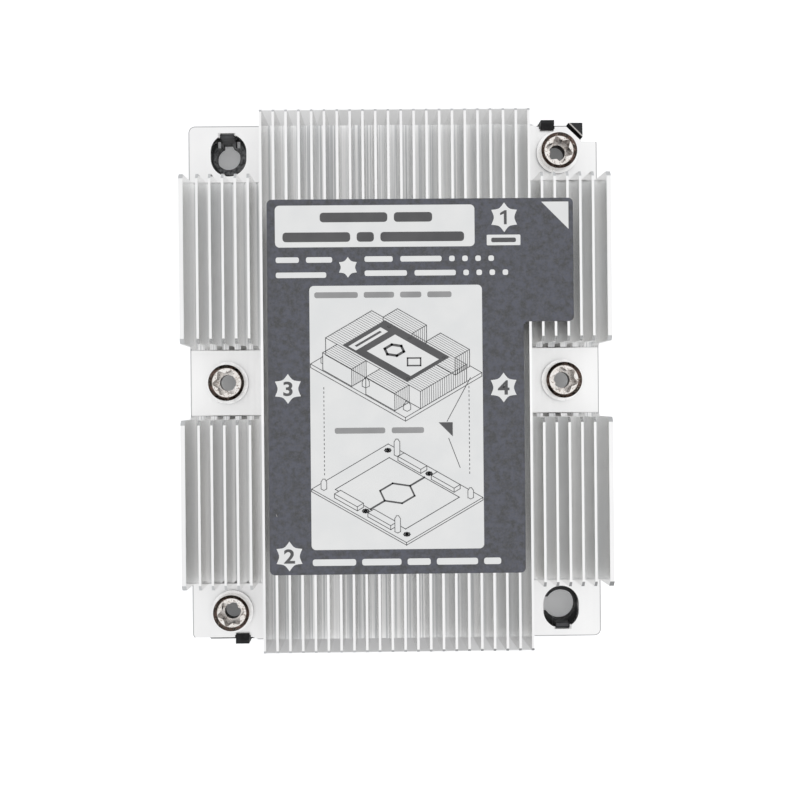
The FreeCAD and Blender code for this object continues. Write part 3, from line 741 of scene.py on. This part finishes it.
def floor():
    """A white sweep with shade painted on it in zones under the part, where the part keeps the
    light away.
    """
    open_glow, plate_glow, hole_glow = 0.6, 0.12, 0.08
    middle_y, fins_end = 0.3, 55.4
    shader = Shader("floor", Roughness=0.9)
    x, y, _ = shader.place()
    along = shader.math("ABSOLUTE", shader.math("SUBTRACT", y, middle_y))
    past_fins = shader.math("MAXIMUM", shader.math("SUBTRACT", along, fins_end), 0.0)

    def zone(half_length, left, right, left_flare=0.0, right_flare=0.0):
        """The share inside a zone that may widen past the ends of the fins."""
        outside = [
            shader.math(
                "SUBTRACT",
                shader.math("MULTIPLY", x, sign),
                shader.math("MULTIPLY_ADD", past_fins, flare, reach),
            )
            for sign, flare, reach in ((-1.0, left_flare, left), (1.0, right_flare, right))
        ]
        outside = shader.math("MAXIMUM", *outside)
        outside = shader.math("MAXIMUM", outside, shader.math("SUBTRACT", along, half_length))
        return shader.below(outside, -0.15, 0.15)

    # Painted shadow: the floor's glow is cut in zones under the fins and the plate.
    under_fins = zone(58.6, 27.9, 28.1, 0.26, 0.47)
    glow = shader.blend(under_fins, open_glow, 0.0)
    for half_length, half_width in ((54.0, 39.8), (50.5, 42.6)):
        glow = shader.blend(zone(half_length, half_width, half_width), glow, plate_glow)
    # Painted light: some glow is put back on the floor under the two guide holes.
    guide_corners = shader.math("LESS_THAN", shader.math("MULTIPLY", x, y), -900.0)
    under_part = shader.math("LESS_THAN", glow, open_glow / 2)
    under_holes = shader.both(guide_corners, under_part)
    glow = shader.math("ADD", glow, shader.math("MULTIPLY", under_holes, hole_glow))

    # Painted shadow: the floor's own colour is darker under the front fins.
    under_front_fins = shader.both(under_fins, shader.math("LESS_THAN", y, 0.0))
    colour = shader.mix(under_front_fins, (0.86, 0.86, 0.86), (0.74, 0.74, 0.745))
    shader.set(shader.surface.inputs["Base Color"], colour)
    light = shader.add("Emission", ("Color", (0.97, 0.985, 1.0, 1.0)), ("Strength", glow))
    rays = shader.add("LightPath").outputs
    mirrored = shader.math("MULTIPLY", rays["Is Glossy Ray"], 0.1)
    seen = shader.math("MAXIMUM", rays["Is Camera Ray"], mirrored)
    matt = shader.surface.outputs[0]
    lit = shader.add("AddShader", (0, matt), (1, light.outputs[0])).outputs[0]
    mixed = shader.add("MixShader", (0, seen), (1, matt), (2, lit))
    shader.set(shader.output.inputs["Surface"], mixed.outputs[0])

    half = 2.0
    mesh = bpy.data.meshes.new("floor")
    mesh.from_pydata(
        [(-half, -half, 0), (half, -half, 0), (half, half, 0), (-half, half, 0)],
        [],
        [(0, 1, 2, 3)],
    )
    mesh.materials.append(shader.material)
    plane = bpy.data.objects.new("floor", mesh)
    scene.collection.objects.link(plane)


def world():
    """An even studio: pale overhead, greyer towards the horizon, and white to the camera."""
    sky = bpy.data.worlds.new("studio")
    scene.world = sky
    sky.use_nodes = True
    nodes = Nodes(sky.node_tree)
    direction = nodes.add("TexCoord").outputs["Generated"]
    height = nodes.add("SeparateXYZ", ("Vector", direction)).outputs[2]
    strength = nodes.span(height, 0.05, 0.95, 0.80, 1.20)
    studio = nodes.add("Background", ("Color", (0.8, 0.8, 0.8, 1.0)), ("Strength", strength))
    backdrop = nodes.add("Background", ("Color", WHITE), ("Strength", 1.0))
    seen = nodes.add("LightPath").outputs["Is Camera Ray"]
    mixed = nodes.add("MixShader", (0, seen), (1, studio.outputs[0]), (2, backdrop.outputs[0]))
    nodes.add("OutputWorld", ("Surface", mixed.outputs[0]))


def lamp(name, place, size, power):
    """A square soft light that faces the part, placed in metres."""
    data = bpy.data.lights.new(name, "AREA")
    data.shape = "SQUARE"
    data.size = size
    data.energy = power
    source = bpy.data.objects.new(name, data)
    source.location = place
    source.rotation_mode = "QUATERNION"
    source.rotation_quaternion = Vector(place).to_track_quat("Z", "Y")
    scene.collection.objects.link(source)


def photo_camera():
    """The photograph's view, nearly straight down."""
    camera = bpy.data.cameras.new("camera")
    camera.sensor_width = 36.0
    camera.lens = 77.17
    camera.clip_start = 0.01
    eye = bpy.data.objects.new("camera", camera)
    eye.location = (-5.80 * MM, -3.73 * MM, 370.42 * MM)
    eye.rotation_euler = [math.radians(turn) for turn in (-0.019, -1.076, -0.528)]
    scene.collection.objects.link(eye)
    scene.camera = eye


floor()
world()
lamp("top_light", (0.25, 0.05, 1.1), 0.9, 0.4)
photo_camera()
scene.view_settings.view_transform = "Standard"

# Light reaches the floor of the deep channels only after many reflections.
scene.cycles.max_bounces = 24
scene.cycles.glossy_bounces = 24
